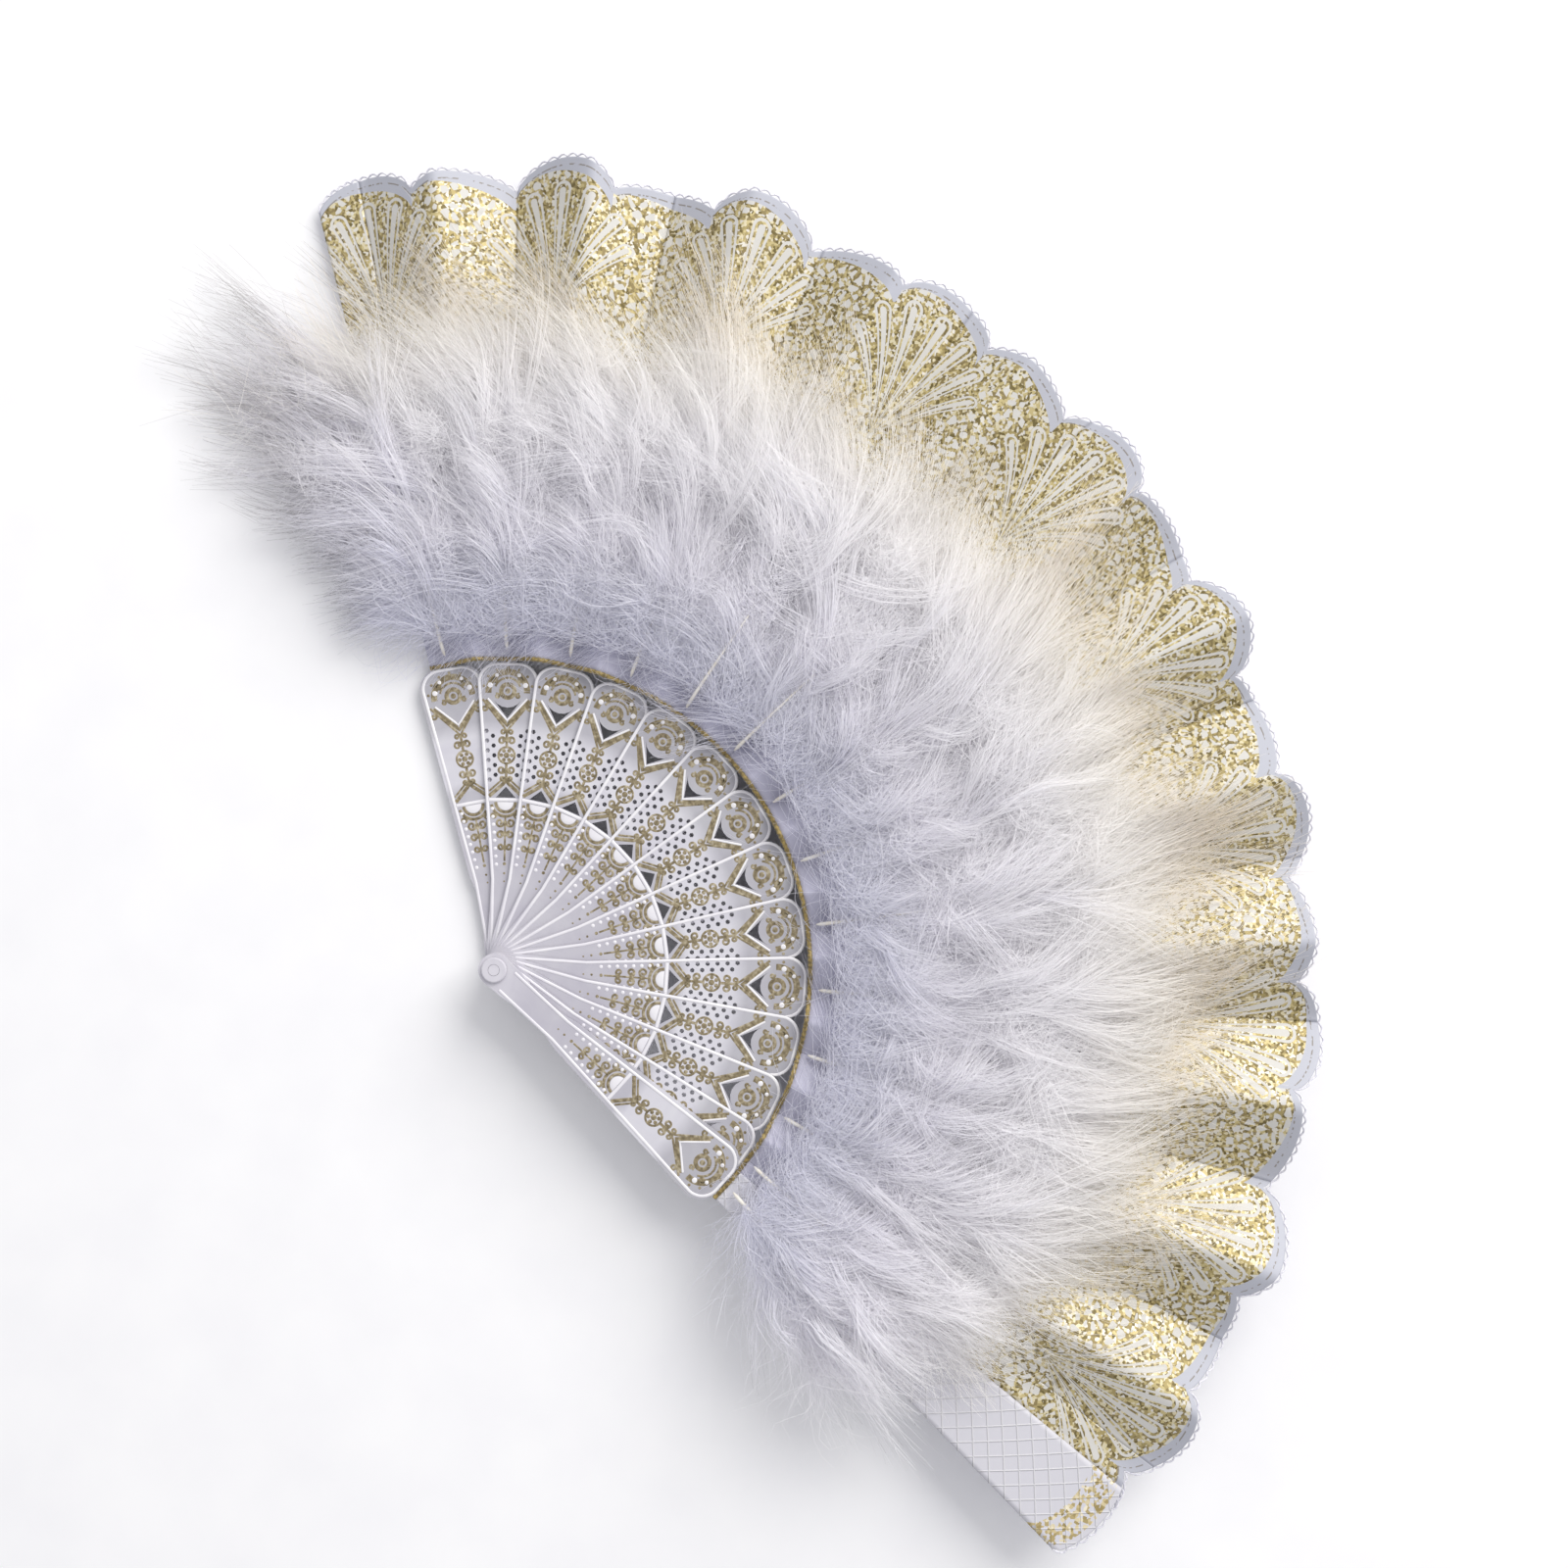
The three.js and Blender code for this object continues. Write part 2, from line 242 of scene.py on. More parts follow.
# A material whose colour follows a noise of a size in millimetres, and its roughness too if it has two ends
def flecked(name, size, detail, stops, rough, **surface):
    material, add = newMaterial(name)
    place = add("TexCoord").outputs["Object"]
    fleck = add("TexNoise", {"Vector": place, "Scale": 1 / (size * mm), "Detail": detail})
    colour = add("ValToRGB", [fleck], stops=stops)
    if isinstance(rough, tuple):
        rough = add("MapRange", {"Value": fleck, "To Min": rough[0], "To Max": rough[1]})
    shader = add("BsdfPrincipled", {"Base Color": colour, "Roughness": rough, **surface})
    add("OutputMaterial", [shader])
    return material


# Matt white board: even, with faint clouds
paleBoard = flecked("matt_white_board", 25, 3.0, [(0.3, "#f6f6f8"), (0.7, "#fafafb")], 0.9)


def addStudio(look):
    corners = np.array([(-1, -1), (1, -1), (1, 1), (-1, 1)]) * look.floorHalf
    points = np.column_stack([corners, np.full(4, -look.floorDrop)])
    floor = makePiece("studio_floor", points, np.array([[0, 1, 2, 3]]), [paleBoard])
    world = bpy.data.worlds.new("white_surround")
    world.use_nodes = True
    surround = world.node_tree.nodes["Background"]
    surround.inputs["Color"].default_value = toLinear("#fbfbff")
    surround.inputs["Strength"].default_value = look.surround
    scene.world = world
    lamp = bpy.data.lights.new("soft_lamp", "AREA")
    lamp.energy = look.lampPower
    lamp.size = look.lampSize
    lamp.color = toLinear("#fffdf9")[:3]
    holder = bpy.data.objects.new("soft_lamp", lamp)
    scene.collection.objects.link(holder)
    rise = math.radians(look.lampElevation)
    heading = Vector((*look.lampHeading, 0)).normalized()
    back = heading * math.cos(rise) + Vector((0, 0, math.sin(rise)))
    holder.location = Vector(look.lampAim) + back * look.lampDistance
    holder.rotation_euler = back.to_track_quat("Z", "Y").to_euler()
    scene.view_settings.view_transform = "Standard"


addStudio(studioLook)
print("stage: camera, floor and light")


# Materials

def pearlPlastic(name, bands):
    # Moulded pearl styrene: milky lavender, paler where it is pierced and grey at the head, with a soft gloss
    material, add = newMaterial(name)
    place = add("TexCoord").outputs["Object"]
    flat = add("VectorMath", [place, (1, 1, 0)], "MULTIPLY")
    reach = add("VectorMath", [flat], "LENGTH").outputs["Value"]
    end = bands[-1][0]
    share = add("MapRange", {"Value": reach, "From Max": end * mm})
    tone = add("ValToRGB", [share], stops=[(radius / end, shade) for radius, shade in bands])
    swirl = add("TexNoise", {"Vector": place, "Scale": 1 / (11 * mm), "Detail": 3.0, "Distortion": 1.4})
    cloud = add("ValToRGB", [swirl], stops=[(0.3, "#f3f2f6"), (0.7, "#ffffff")])
    colour = add("Mix", {0: 1.0, 6: tone, 7: cloud}, data_type="RGBA", blend_type="MULTIPLY").outputs[2]
    gloss = add("MapRange", {"Value": swirl, "To Min": 0.26, "To Max": 0.42})
    shader = add("BsdfPrincipled", {"Base Color": colour, "Roughness": gloss, "IOR": 1.55,
                                    "Coat Weight": 0.2, "Coat Roughness": 0.15})
    add("OutputMaterial", [shader])
    return material


leafPrint = Settings(
    shellPitch=math.radians(15.0),  # from one large scallop to the next
    shellBase=178.0,  # radius of the point that the petals of a shell spread from
    petalPitch=0.25,  # from petal to petal, radians
    petalReach=35.5,  # from that point to the middle petal's round end
    petalDrop=0.8,  # loss of reach, times the square of a petal's count from the middle
    petalCount=3.3,  # to each side
    petalCurl=1.35,  # over 1, petals bend outwards
    fullReach=35.0,  # where the next two hold; they shrink towards the base
    core=0.95,  # half-width of a petal's white middle
    outline=(1.75, 2.5),  # its white outline
    margin=0.5,  # past the petals, where the net starts
    cell=2.7,  # of that net
    netLine=0.17,  # half-width of its gold, as a share of a cell
    band=(1.6, 5.4),  # plain satin inside the rim, wider to one side of a scallop
    piping=(2.0, 0.2),  # inset and half-width of the thin line in that band
    pipingGaps=0.5,  # share of it that is missing
    speck=0.75,  # of glitter, coarser than real so that it shows
    fade=(140.0, 156.0),  # radii between which the print thickens
    ground=(86.0, 150.0),  # and the bare satin goes from a painted shade at the hem to its own colour
    metal=0.42,
)


def printedSatin(look):
    # Satin printed with gold glitter: shells of white-lined petals, a fine net between them, a plain edge
    material, add = newMaterial("gold_printed_satin")
    turn, reach, inset = (add("Attribute", attribute_name=name).outputs["Fac"]
                          for name in ("turn", "reach", "inset"))

    # Place beside the scallop's middle, and above the point that its petals spread from
    lobe = add("Math", [turn], "ROUND")
    beside = add("Math", [turn, lobe], "SUBTRACT")
    bearing = add("Math", [beside, look.shellPitch], "MULTIPLY")
    x = add("Math", [bearing, reach], "MULTIPLY")
    y = add("Math", [reach, look.shellBase], "SUBTRACT")
    far = add("VectorMath", [add("CombineXYZ", [x, y])], "LENGTH").outputs["Value"]
    slope = add("Math", [x, y], "ARCTAN2")
    spread = add("MapRange", {"Value": far, "From Max": look.fullReach,
                              "To Min": look.petalCurl, "To Max": 1.0})
    lean = add("Math", [slope, spread], "MULTIPLY")

    # Distance from the middle line of the nearest petal, scaled to where the petals are widest
    shifted = add("Math", [lean, look.petalPitch / 2], "ADD")
    petal = add("Math", [shifted, look.petalPitch], "SNAP")
    off = add("Math", [lean, petal], "SUBTRACT")
    aside = add("Math", [off, far], "MULTIPLY")
    squared = add("Math", [petal, petal], "MULTIPLY")
    drop = add("Math", [squared, look.petalDrop / look.petalPitch ** 2], "MULTIPLY")
    end = add("Math", [look.petalReach, drop], "SUBTRACT")
    beyond = add("Math", [far, end], "SUBTRACT")
    past = add("Math", [beyond, 0.0], "MAXIMUM")
    away = add("VectorMath", [add("CombineXYZ", [aside, past])], "LENGTH").outputs["Value"]
    narrow = add("Math", [far, look.fullReach], "DIVIDE")
    width = add("Math", [away, narrow], "DIVIDE")
    core = add("Math", [width, look.core], "LESS_THAN")
    low, high = look.outline
    outline = add("Math", [width, (low + high) / 2, (high - low) / 2], "COMPARE")
    petals = add("Math", [core, outline], "MAXIMUM")
    within = add("Math", [past, high + look.margin], "LESS_THAN")
    fan = add("Math", [add("Math", [petal], "ABSOLUTE"), look.petalPitch * look.petalCount], "LESS_THAN")
    inShell = add("Math", [within, fan], "MULTIPLY")

    # Small pale cells between the shells, and glitter, each speck with its own gold
    place = add("TexCoord").outputs["Object"]
    net = add("TexVoronoi", {"Vector": place, "Scale": 1 / (look.cell * mm)}, feature="DISTANCE_TO_EDGE")
    cells = add("Math", [net, look.netLine], "GREATER_THAN")
    speck = add("TexVoronoi", {"Vector": place, "Scale": 1 / (look.speck * mm)}).outputs["Color"]
    chance = add("SeparateColor", [speck])
    gold = add("ValToRGB", [chance], stops=[
        (0.0, "#75683f"), (0.13, "#908158"), (0.31, "#ab9b69"), (0.52, "#c8b987"), (0.7, "#dbd1b0"),
        (0.84, "#dedad0")])
    gold.color_ramp.interpolation = "CONSTANT"
    white = add("Mix", {0: inShell, 2: cells, 3: petals})
    motif = add("Mix", {0: white, 6: gold, 7: toLinear("#d0cec9")}, data_type="RGBA").outputs[2]

    # The print thins out towards the plumes and stops short of the rim, where a broken thin line runs
    share = add("MapRange", {"Value": reach, "From Min": look.fade[0], "From Max": look.fade[1]})
    thick = add("Math", [share, chance.outputs["Blue"]], "GREATER_THAN")
    across = add("Math", [add("Math", [turn, 2.0, 0.5], "MULTIPLY_ADD")], "FRACT")
    band = add("MapRange", {"Value": across, "To Min": look.band[0], "To Max": look.band[1]})
    clear = add("Math", [inset, band], "GREATER_THAN")
    printed = add("Math", [thick, clear], "MULTIPLY")
    # Bare satin: its own pale lavender, darker towards the hem as a painted shade under the plumes
    hemShadeFade = add("MapRange", {"Value": reach, "From Min": look.ground[0], "From Max": look.ground[1]})
    ground = add("ValToRGB", [hemShadeFade], stops=[(0.0, "#b2b1c3"), (0.35, "#bbbacc"), (1.0, "#b8bac4")])
    colour = add("Mix", {0: printed, 6: ground, 7: motif}, data_type="RGBA").outputs[2]
    seam = add("Math", [inset, *look.piping], "COMPARE")
    broken = add("Math", [chance.outputs["Green"], look.pipingGaps], "GREATER_THAN")
    piping = add("Math", [seam, broken], "MULTIPLY")
    colour = add("Mix", {0: piping, 6: colour, 7: toLinear("#8f8a86")}, data_type="RGBA").outputs[2]

    # Only the gold is metal, and its specks stand up a little
    bare = add("Math", [1.0, white], "SUBTRACT")
    gilt = add("Math", [printed, bare], "MULTIPLY")
    metal = add("Math", [gilt, look.metal], "MULTIPLY")
    grain = add("Math", [chance, gilt], "MULTIPLY")
    bump = add("Bump", {"Strength": 0.35, "Distance": 0.3 * mm, "Height": grain})
    shader = add("BsdfPrincipled", {"Base Color": colour, "Metallic": metal, "Roughness": 0.55,
                                    "Normal": bump})
    add("OutputMaterial", [shader])
    return material


stripPrint = Settings(
    trellis=5.6,  # from groove to groove, aslant
    groove=0.22,  # under this, on a sine from 0 to 1, the satin is pressed
    speck=0.9,  # as coarse, for the same reason
    tip=(5.8, 4.2),  # inset from the rim and half-width of the gold
    tipGaps=0.45,  # share of its specks that are missing
)


def embossedSatin(look):
    # White satin pressed with a small trellis, and a speckled gold tip
    material, add = newMaterial("embossed_satin")
    side, reach, inset = (add("Attribute", attribute_name=name).outputs["Fac"]
                          for name in ("side", "reach", "inset"))
    ridges = []
    for way in ("ADD", "SUBTRACT"):
        slant = add("Math", [reach, side], way)
        wave = add("Math", [slant, math.pi / look.trellis], "MULTIPLY")
        ridges.append(add("Math", [add("Math", [wave], "SINE")], "ABSOLUTE"))
    trellis = add("Math", ridges, "MINIMUM")
    groove = add("MapRange", {"Value": trellis, "From Min": look.groove, "From Max": 0.0})
    face = add("ValToRGB", [groove], stops=[(0.0, "#d2d1d8"), (1.0, "#e0dfe2")])
    place = add("TexCoord").outputs["Object"]
    speck = add("TexVoronoi", {"Vector": place, "Scale": 1 / (look.speck * mm)}).outputs["Color"]
    chance = add("SeparateColor", [speck])
    gold = add("ValToRGB", [chance], stops=[(0.0, "#9c8a58"), (0.5, "#c8b684"), (1.0, "#efe6cd")])
    tip = add("Math", [inset, *look.tip], "COMPARE")
    some = add("Math", [chance.outputs["Green"], look.tipGaps], "GREATER_THAN")
    gilt = add("Math", [tip, some], "MULTIPLY")
    colour = add("Mix", {0: gilt, 6: face, 7: gold}, data_type="RGBA").outputs[2]
    bump = add("Bump", {"Strength": 0.6, "Distance": 0.4 * mm, "Height": groove})
    shader = add("BsdfPrincipled", {"Base Color": colour, "Roughness": 0.42, "Normal": bump})
    add("OutputMaterial", [shader])
    return material


def marabouDown():
    # Marabou: matt white barbs that pass light, lavender white, darker lavender at the roots as a painted
    # shade, cream at the tips
    material, add = newMaterial("marabou_down")
    spot = add("SeparateXYZ", [add("UVMap", uv_map="barb")])
    # Along the barb: lavender white, darker at the roots as a painted shade, cream at the tips
    reach = add("ValToRGB", [spot], stops=[
        (0.0, "#e8e8f2"), (0.14, "#f1f1f8"), (0.3, "#faf9fd"), (0.6, "#fefdfe"), (0.78, "#fefcf9"),
        (1.0, "#fdf7ed")])
    # Tone: random from lock to lock above 0.25; below it only the painted grey shade of the overhang tips
    tone = add("ValToRGB", [spot.outputs["Y"]], stops=[
        (0.0, "#c0bebd"), (0.25, "#fbfbfd"), (0.6, "#fefefe"), (1.0, "#ffffff")])
    colour = add("Mix", {0: 1.0, 6: reach, 7: tone}, data_type="RGBA", blend_type="MULTIPLY").outputs[2]
    shader = add("BsdfPrincipled", {"Base Color": colour, "Roughness": 0.75, "Sheen Weight": 0.25})
    glow = add("BsdfTranslucent", [colour])
    both = add("MixShader", [0.5, shader, glow])
    add("OutputMaterial", [both])
    return material


stickPlastic = pearlPlastic("pearl_styrene", [
    (0, "#dbd9df"), (13, "#c5c3cb"), (40, "#bebcc4"), (49, "#bdbcc3"), (52, "#d9d8de"), (64, "#d7d6dc"),
    (68, "#b9b8be"), (84, "#b3b2b8")])
reliefPlastic = pearlPlastic("pearl_styrene_relief", [(0, "#e9e7ec"), (84, "#f6f5f6")])
# Hot-stamped gold foil, rubbed thin: khaki, with paler worn flecks
foil = flecked("stamped_gold_foil", 1.1, 2.0, [(0.3, "#6e634b"), (0.52, "#94876a"), (0.74, "#c0b69e")],
               (0.34, 0.52), Metallic=0.2)
printed = printedSatin(leafPrint)
embossed = embossedSatin(stripPrint)
down = marabouDown()
# Polyester satin: pale lavender white, smooth, a little clouded
satin = flecked("pale_satin", 6, 4.0, [(0.3, "#c6c5d6"), (0.7, "#dad9e6")], 0.5, **{"Sheen Weight": 0.2})
# Twisted rayon cord: flecked strands, silky
picotCord, hemBraid = (
    flecked(name, size, 2.0, [(0.35, deep), (0.65, pale)], 0.5, **{"Sheen Weight": 0.3})
    for name, size, deep, pale in (("white_picot_cord", 0.8, "#c6c6d2", "#ecebf1"),
                                   ("gold_hem_braid", 0.9, "#5f5028", "#a58f52")))
# Quill: clear horn over white pith, smooth
horn = flecked("quill_horn", 3, 2.0, [(0.3, "#e3ddd0"), (0.7, "#f6f3ec")], 0.35, IOR=1.5)
for name in (*stickNames, "rivet_pin", "rivet_front_cap"):
    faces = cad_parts[name].data.materials
    faces.clear()
    faces.append(stickPlastic)
print("materials: made")


# Leaf: one pleated sheet, a valley on each rib and a ridge between each two

leafLook = Settings(
    notch=214.0,  # rim radius between two scallops
    scallop=math.radians(7.5),
    firstScallop=math.radians(0.3),
    large=8.5, small=4.5,
    rise=11.5,  # ridge over its valleys, at the notches
    frontRise=0.4,
    seat=0.3,  # leaf over the rib
    hemOver=1.2,  # turned hem, inside the cut edge
    slatHalf=math.radians(1.5),
    cloth=0.3,
    foldRound=0.07,  # share of a flank that a fold's bend takes
    billow=0.35,
    billowLength=34.0,
    billowShift=1.7,  # radians from fold to fold
    columns=45, rows=84,
    rowCrowd=1.35,  # over 1, rows crowd towards the rim
    foldReach=(1.5, 15.5),  # sideways from a rib, for two points at foldRadius
    foldRadius=130.0,
    backWidth=math.radians(3.3), frontHalf=math.radians(3.25), endColumns=17,  # end strips
)
hemRadius = np.hypot(*nodePoints("leaf_pleat_06")[:, :2].T).min() - leafLook.hemOver
leafAngles = stickAngles.copy()
leafAngles[frontGuard] -= leafLook.slatHalf
leafLevels = stickTops + leafLook.seat
leafLevels[0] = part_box("back_end_panel")[0].z / mm
leafLevels[frontGuard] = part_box("front_guard")[0].z / mm + leafLook.seat
leafRises = np.zeros(frontGuard + 1)
leafRises[1:] = leafLook.rise * (np.diff(leafAngles) / np.diff(leafAngles)[0]) ** 2
leafRises[frontGuard] = leafLook.frontRise


# Large and small scallops take turns: the notch radius plus a lobe, the root of a half sine
def rimRadius(angle):
    turn = (angle - stickAngles[0] - leafLook.firstScallop) / leafLook.scallop + 0.5
    lobe = np.floor(turn)
    height = np.where(lobe % 2 == 0, leafLook.large, leafLook.small)
    return leafLook.notch + height * np.sqrt(np.sin(np.pi * (turn - lobe)).clip(0))


# A tent whose foot and ridge are rounded: the root of a square plus a small square, made to run from 0 to 1
def softTent(tent):
    bend = leafLook.foldRound
    span = math.sqrt(1 + bend ** 2) - bend
    foot = (np.sqrt(tent ** 2 + bend ** 2) - bend) / span
    return 1 - (np.sqrt((1 - foot) ** 2 + bend ** 2) - bend) / span


# Level between the two ribs beside an angle, plus the tent, which grows with the radius
def leafHeight(angle, radius):
    pleat = np.clip(np.searchsorted(leafAngles, angle), 1, frontGuard)
    share = ((angle - leafAngles[pleat - 1]) / (leafAngles[pleat] - leafAngles[pleat - 1])).clip(0, 1)
    tent = 1 - np.abs(2 * share - 1)
    level = between((leafLevels[pleat - 1], leafLevels[pleat]), share)
    wave = np.sin(2 * np.pi * radius / leafLook.billowLength + leafLook.billowShift * pleat)
    lift = leafRises[pleat] * softTent(tent) + leafLook.billow * np.sin(np.pi * tent) * wave
    return level + lift * radius / leafLook.notch


# A grid from the hem to the rim, whose columns run clockwise and whose rows crowd towards the rim
def addSheet(name, node, angles, height, face):
    share = 1 - np.linspace(1, 0, leafLook.rows) ** leafLook.rowCrowd
    rim = rimRadius(angles)
    radius = between((hemRadius, rim), share[:, None])
    angle = np.broadcast_to(angles, radius.shape)
    points = polar(angle, radius, 0, height(angle, radius) + leafLook.cloth / 2)
    quads = gridQuads(leafLook.rows, len(angles))
    piece = makePiece(name, points.reshape(-1, 3), quads, [face, satin])
    turn = (angle - stickAngles[0] - leafLook.firstScallop) / (2 * leafLook.scallop)
    side = (angle - angles.mean()) * radius
    for key, values in dict(turn=turn, side=side, reach=radius, inset=rim - radius).items():
        layer = piece.data.attributes.new(key, "FLOAT", "POINT")
        layer.data.foreach_set("value", values.astype(np.float32).ravel())
    thickness = piece.modifiers.new("cloth", "SOLIDIFY")
    thickness.thickness = leafLook.cloth * mm
    thickness.offset = 0
    thickness.material_offset = 1
    thickness.material_offset_rim = 1
    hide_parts(node)
    return piece, points


edgingLook = Settings(
    picotPitch=2.9, picotHeight=0.8, picotRadius=0.27, picotSides=6,
    picotSteps=9,  # points to a picot
    leastPicots=6,
    hemRadius=0.62, hemSides=8, hemStep=0.25,
    hemInset=0.3,  # from the leaf's edge
    hemLift=0.35,
    hemTwist=2.6,  # length of one turn of the braid
    hemRelief=0.1,
)


# Picots: the rim's line, pushed out by the size of a sine. Hem: a two-strand braid, a tube whose section
# swells twice round and turns along its length.
def addEdging(name, angles, height, look):
    sweep = angles[-1] - angles[0]
    count = max(look.leastPicots, round(sweep * leafLook.notch / look.picotPitch))
    fine = np.linspace(angles[0], angles[-1], count * look.picotSteps + 1)
    bump = np.abs(np.sin(np.pi * np.linspace(0, count, len(fine))))
    rim = rimRadius(fine)
    level = height(fine, rim) + leafLook.cloth / 2
    out = look.picotRadius / 2 + look.picotHeight * bump
    picots = tube(polar(fine, rim + out, 0, level), look.picotRadius, look.picotSides)
    along = np.linspace(angles[0], angles[-1], round(sweep * hemRadius / look.hemStep) + 1)
    level = height(along, np.full(len(along), hemRadius)) + look.hemLift
    around = np.linspace(0, 2 * np.pi, look.hemSides, endpoint=False)
    phase = 2 * np.pi * (along - angles[0]) * hemRadius / look.hemTwist
    radii = look.hemRadius + look.hemRelief * np.cos(2 * (around - phase[:, None]))
    hem = tube(polar(along, hemRadius + look.hemInset, 0, level), radii, look.hemSides)
    points, quads = joinParts([picots, hem])
    piece = makePiece(name, points, quads, [picotCord, hemBraid])
    isHem = (np.arange(len(quads)) >= len(picots[1])).astype(np.int32)
    piece.data.polygons.foreach_set("material_index", isHem)
    return piece


def addPleat(j):
    angles = np.linspace(leafAngles[j - 1], leafAngles[j], leafLook.columns)
    piece, points = addSheet(f"pleat_{j:02d}", f"leaf_pleat_{j:02d}", angles, leafHeight, printed)
    edging = addEdging(f"pleat_edging_{j:02d}", angles, leafHeight, edgingLook)
    narrow = (leafAngles[j] - leafAngles[j - 1]) / (leafAngles[1] - leafAngles[0])
    start, end = (polar(leafAngles[j - 1], leafLook.foldRadius, side * narrow) * mm
                  for side in leafLook.foldReach)
    for part in (piece, edging):
        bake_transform(part)


def addEndPanel(end, k, angles, level, face):
    def flatLevel(angle, radius):
        return np.full(np.shape(angle), level)
    piece, points = addSheet(f"{end}_end_strip", f"{end}_end_panel", angles, flatLevel, face)
    edging = addEdging(f"{end}_end_edging", angles, flatLevel, edgingLook)
    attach(piece, stickNames[k])
    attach(edging, stickNames[k])


for j in range(1, frontGuard + 1):
    addPleat(j)
backEdge = stickAngles[0] - leafLook.backWidth
backAngles = np.linspace(backEdge, stickAngles[0], leafLook.endColumns)
addEndPanel("back", 0, backAngles, leafLevels[0], printed)
frontEdges = stickAngles[frontGuard] + np.array([-1, 1]) * leafLook.frontHalf
frontAngles = np.linspace(*frontEdges, leafLook.endColumns)
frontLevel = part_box("front_end_panel")[0].z / mm
addEndPanel("front", frontGuard, frontAngles, frontLevel, embossed)
print("leaf: 13 pleats and 2 end strips")


# Stick ornaments: raised white beads and stamped gold lines, laid out once with x across the stick and
# y along it, then turned to each stick

gorgeLook = Settings(
    relief=0.17,  # heights
    foil=0.06,
    bossFoil=0.09,
    sink=0.01,  # into the stick
    waist=24.0, waistHalf=3.6, headHalf=8.4, corner=5.5, end=84.0,
    rimStart=4.6, rimInset=0.45, rimWidth=0.8,
    edgeDots=(28.0, 43.5, 2.2), edgeInset=1.7, edgeDot=0.55,
    headDots=((4.9, 77.6, 0.8), (3.1, 80.4, 0.6)),  # x, y, radius
    bar=45.85, barHalf=4.6, barWidth=0.95,
    boss=45.25, bossRadius=2.2,
    bossArcs=((2.75, 180, 360, 18, 0.9), (3.95, 190, 350, 18, 0.9)),  # radius, start, stop, steps, width
    gableTop=50.0, gables=((1.0, 1.1), (2.4, 0.6)),  # lift, width
    ring=76.0,
    ringArcs=((5.35, -6, 186, 26, 1.8), (3.65, 20, 160, 20, 0.65)),
    ringCircle=(1.85, 1.3), ringDot=0.8,  # radius, width
    knots=(12, 169, 26), knotReach=(6.9, 6.5), knot=0.45,
    wingApex=68.4, wingEnd=(3.9, 73.56),
    wingRelief=(1.6, 0.3, -0.6, 0.6),  # the end's x and y and the apex's y, moved, and width
    wingFoil=((1.9, 0.1, -1.9, 1.25), (3.0, 0.1, -3.4, 0.7)),
    flower=58.2, flowerDot=0.85, flowerCircle=(2.25, 0.65),
    petals=6, petalReach=1.45, petal=0.6,
    stems=((60.6, 64.4, 0.8), (55.8, 51.8, 0.8), (41.4, 29.0, 0.55)),  # y from and to, width
    tailDots=((28.2, 0.5), (25.6, 0.36), (23.4, 0.28)),  # y, radius
    curlWidth=0.7,
    curls=(  # x, y, radius, start, turns
        (1.45, 39.6, 1.3, 160, 1.3), (1.3, 36.2, 1.15, 200, -1.3), (1.1, 33.0, 0.95, 160, 1.2),
        (3.3, 41.6, 0.9, 140, 1.2), (1.3, 62.2, 1.15, 200, -1.3), (1.3, 54.2, 1.15, 160, 1.3),
        (1.0, 64.6, 0.8, 200, -1.2), (1.0, 51.8, 0.8, 160, 1.2), (6.3, 71.2, 0.9, 100, 1.2),
        (2.9, 74.6, 0.7, 60, 1.1), (3.4, 79.3, 0.9, 220, 1.2)),
)


# A low bead along a flat path: a half ellipse, carried along it
def bead(path, width, height, closed=False, across=6):
    if closed:
        path = np.vstack([path, path[:1]])
    along = np.gradient(path, axis=0)
    if closed:
        along[0] = along[-1] = path[1] - path[-2]
    side = unit(along)[:, ::-1] * [1, -1]
    around = np.linspace(0, np.pi, across)
    aside = -np.cos(around) * width / 2
    flat = path[:, None] + aside[:, None] * side[:, None]
    level = np.broadcast_to(np.sin(around) * height, flat.shape[:2])
    points = np.dstack([flat, level]).reshape(-1, 3)
    return points, gridQuads(len(path), across)


# A domed dot: rings that shrink to its middle and rise as a quarter ellipse
def dot(x, y, radius, height, sides=8, start=0.0, sweep=2 * np.pi, rings=4):
    turn = start + np.linspace(0, sweep, sides + 1)
    rise = np.linspace(0, np.pi / 2, rings)
    ring = radius * np.cos(rise)
    points = np.dstack([
        x + ring[:, None] * np.cos(turn),
        y + ring[:, None] * np.sin(turn),
        np.broadcast_to(height * np.sin(rise)[:, None], (rings, len(turn))),
    ]).reshape(-1, 3)
    return points, gridQuads(rings, len(turn))


def arc(x, y, radius, start, stop, steps):
    turn = np.radians(np.linspace(start, stop, steps + 1))
    return np.column_stack([x + radius * np.cos(turn), y + radius * np.sin(turn)])


def circle(y, radius, width, height, steps=24):
    turn = 360 / steps
    return bead(arc(0, y, radius, 0, 360 - turn, steps - 1), width, height, closed=True)


def line(points, steps=6):
    points = np.asarray(points, float)
    share = np.linspace(0, 1, steps, endpoint=False)[:, None]
    runs = [a + share * (b - a) for a, b in zip(points[:-1], points[1:])]
    return np.vstack(runs + [points[-1:]])


# A curl: a spiral that winds in from its stem
def curl(x, y, radius, start, turns, steps=20, inward=0.75):
    share = np.linspace(0, 1, steps)
    turn = math.radians(start) + 2 * np.pi * turns * share
    reach = radius * (1 - inward * share)
    return np.column_stack([x + reach * np.cos(turn), y + reach * np.sin(turn)])


def edgeHalf(y, look):
    spread = (look.headHalf - look.waistHalf) / (look.end - look.corner - look.waist)
    return look.waistHalf + (y - look.waist) * spread


